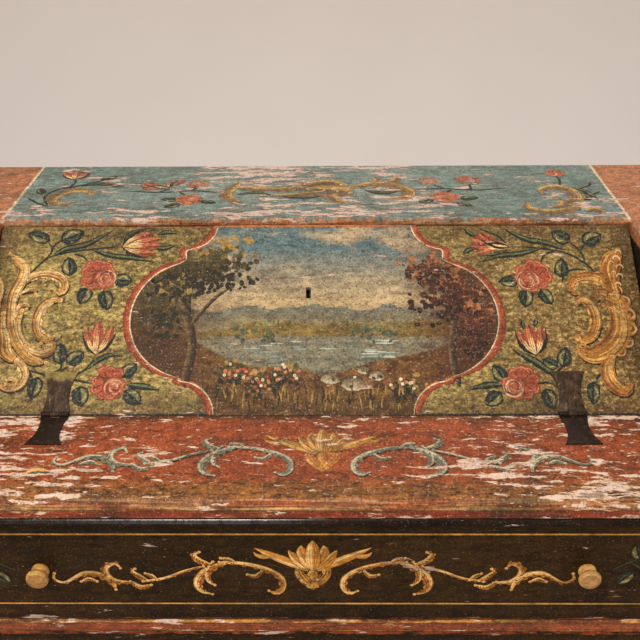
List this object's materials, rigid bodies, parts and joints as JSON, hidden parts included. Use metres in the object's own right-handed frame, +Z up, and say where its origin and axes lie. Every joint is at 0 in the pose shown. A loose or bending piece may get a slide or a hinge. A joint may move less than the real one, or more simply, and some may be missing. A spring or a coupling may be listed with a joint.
{
  "type": "butlers chest",
  "caption": "Painted wooden chest of long drawers that carries a low writing desk: a sloping lid on butterfly hinges between small drawer towers, folding down onto a moulded ledge.",
  "frame": {"origin": "middle of the footprint, on the floor", "axes": "+X to the right seen from the front, +Y to the back, +Z up"},
  "size_m": [1.267, 0.6228, 0.9814],
  "materials": {
    "salmon_paint": "worn salmon-red tempera paint on wood",
    "olive_paint": "worn olive tempera paint on wood",
    "teal_paint": "worn grey-teal tempera paint on wood",
    "dark_paint": "glossy dark brown paint on wood",
    "bare_wood": "unpainted aged softwood",
    "gilded_wood": "worn gilding on turned wood",
    "black_iron": "blackened wrought iron"
  },
  "bodies": {
    "case": {"ledge_board": "salmon_paint", "ledge_bead": "dark_paint", "left_case_side": "salmon_paint", "right_case_side": "salmon_paint", "left_corner_post": "salmon_paint", "right_corner_post": "salmon_paint", "case_back": "bare_wood", "case_bottom": "bare_wood", "top_drawer_rail": "salmon_paint", "upper_drawer_rail": "salmon_paint", "lower_drawer_rail": "salmon_paint", "upper_left_runner": "bare_wood", "upper_right_runner": "bare_wood", "lower_left_runner": "bare_wood", "lower_right_runner": "bare_wood", "front_left_foot": "salmon_paint", "front_right_foot": "salmon_paint", "back_left_foot": "salmon_paint", "back_right_foot": "salmon_paint", "front_apron": "salmon_paint", "base_moulding": "dark_paint", "left_upper_side": "olive_paint", "right_upper_side": "olive_paint", "left_partition": "olive_paint", "right_partition": "olive_paint", "upper_back": "bare_wood", "top_board": "teal_paint", "lid_rest_rail": "bare_wood", "pigeonhole_nest": "bare_wood", "left_hinge_ledge_leaf": "black_iron", "right_hinge_ledge_leaf": "black_iron", "left_hinge_pin": "black_iron", "right_hinge_pin": "black_iron"},
    "lid": {"lid_panel": "olive_paint", "left_hinge_lid_leaf": "black_iron", "right_hinge_lid_leaf": "black_iron", "lock_case": "black_iron"},
    "bolt": {"lock_bolt": "black_iron"},
    "top_drawer": {"top_drawer_front": "olive_paint", "top_drawer_walls": "bare_wood", "top_drawer_bottom": "bare_wood", "top_drawer_left_knob": "gilded_wood", "top_drawer_right_knob": "gilded_wood"},
    "middle_drawer": {"middle_drawer_front": "olive_paint", "middle_drawer_walls": "bare_wood", "middle_drawer_bottom": "bare_wood", "middle_drawer_left_knob": "gilded_wood", "middle_drawer_right_knob": "gilded_wood"},
    "bottom_drawer": {"bottom_drawer_front": "olive_paint", "bottom_drawer_walls": "bare_wood", "bottom_drawer_bottom": "bare_wood", "bottom_drawer_left_knob": "gilded_wood", "bottom_drawer_right_knob": "gilded_wood"},
    "left_tower_drawer": {"left_tower_drawer_front": "olive_paint", "left_tower_drawer_tray": "bare_wood", "left_tower_drawer_knob": "gilded_wood"},
    "right_tower_drawer": {"right_tower_drawer_front": "olive_paint", "right_tower_drawer_tray": "bare_wood", "right_tower_drawer_knob": "gilded_wood"}
  },
  "joints": [
    {"name": "lid_hinge", "type": "hinge", "parent": "case", "child": "lid", "pos_m": [0, -0.14763, 0.8091], "axis": [1, 0, 0], "range_deg": [0, 147]},
    {"name": "bolt_slide", "type": "slide", "parent": "lid", "child": "bolt", "axis": [0, 0.8131, 0.5821], "range_m": [0, 0.01]},
    {"name": "top_drawer_slide", "type": "slide", "parent": "case", "child": "top_drawer", "axis": [0, -1, 0], "range_m": [0, 0.4]},
    {"name": "middle_drawer_slide", "type": "slide", "parent": "case", "child": "middle_drawer", "axis": [0, -1, 0], "range_m": [0, 0.4]},
    {"name": "bottom_drawer_slide", "type": "slide", "parent": "case", "child": "bottom_drawer", "axis": [0, -1, 0], "range_m": [0, 0.4]},
    {"name": "left_tower_drawer_slide", "type": "slide", "parent": "case", "child": "left_tower_drawer", "axis": [0, -1, 0], "range_m": [0, 0.28]},
    {"name": "right_tower_drawer_slide", "type": "slide", "parent": "case", "child": "right_tower_drawer", "axis": [0, -1, 0], "range_m": [0, 0.28]}
  ]
}
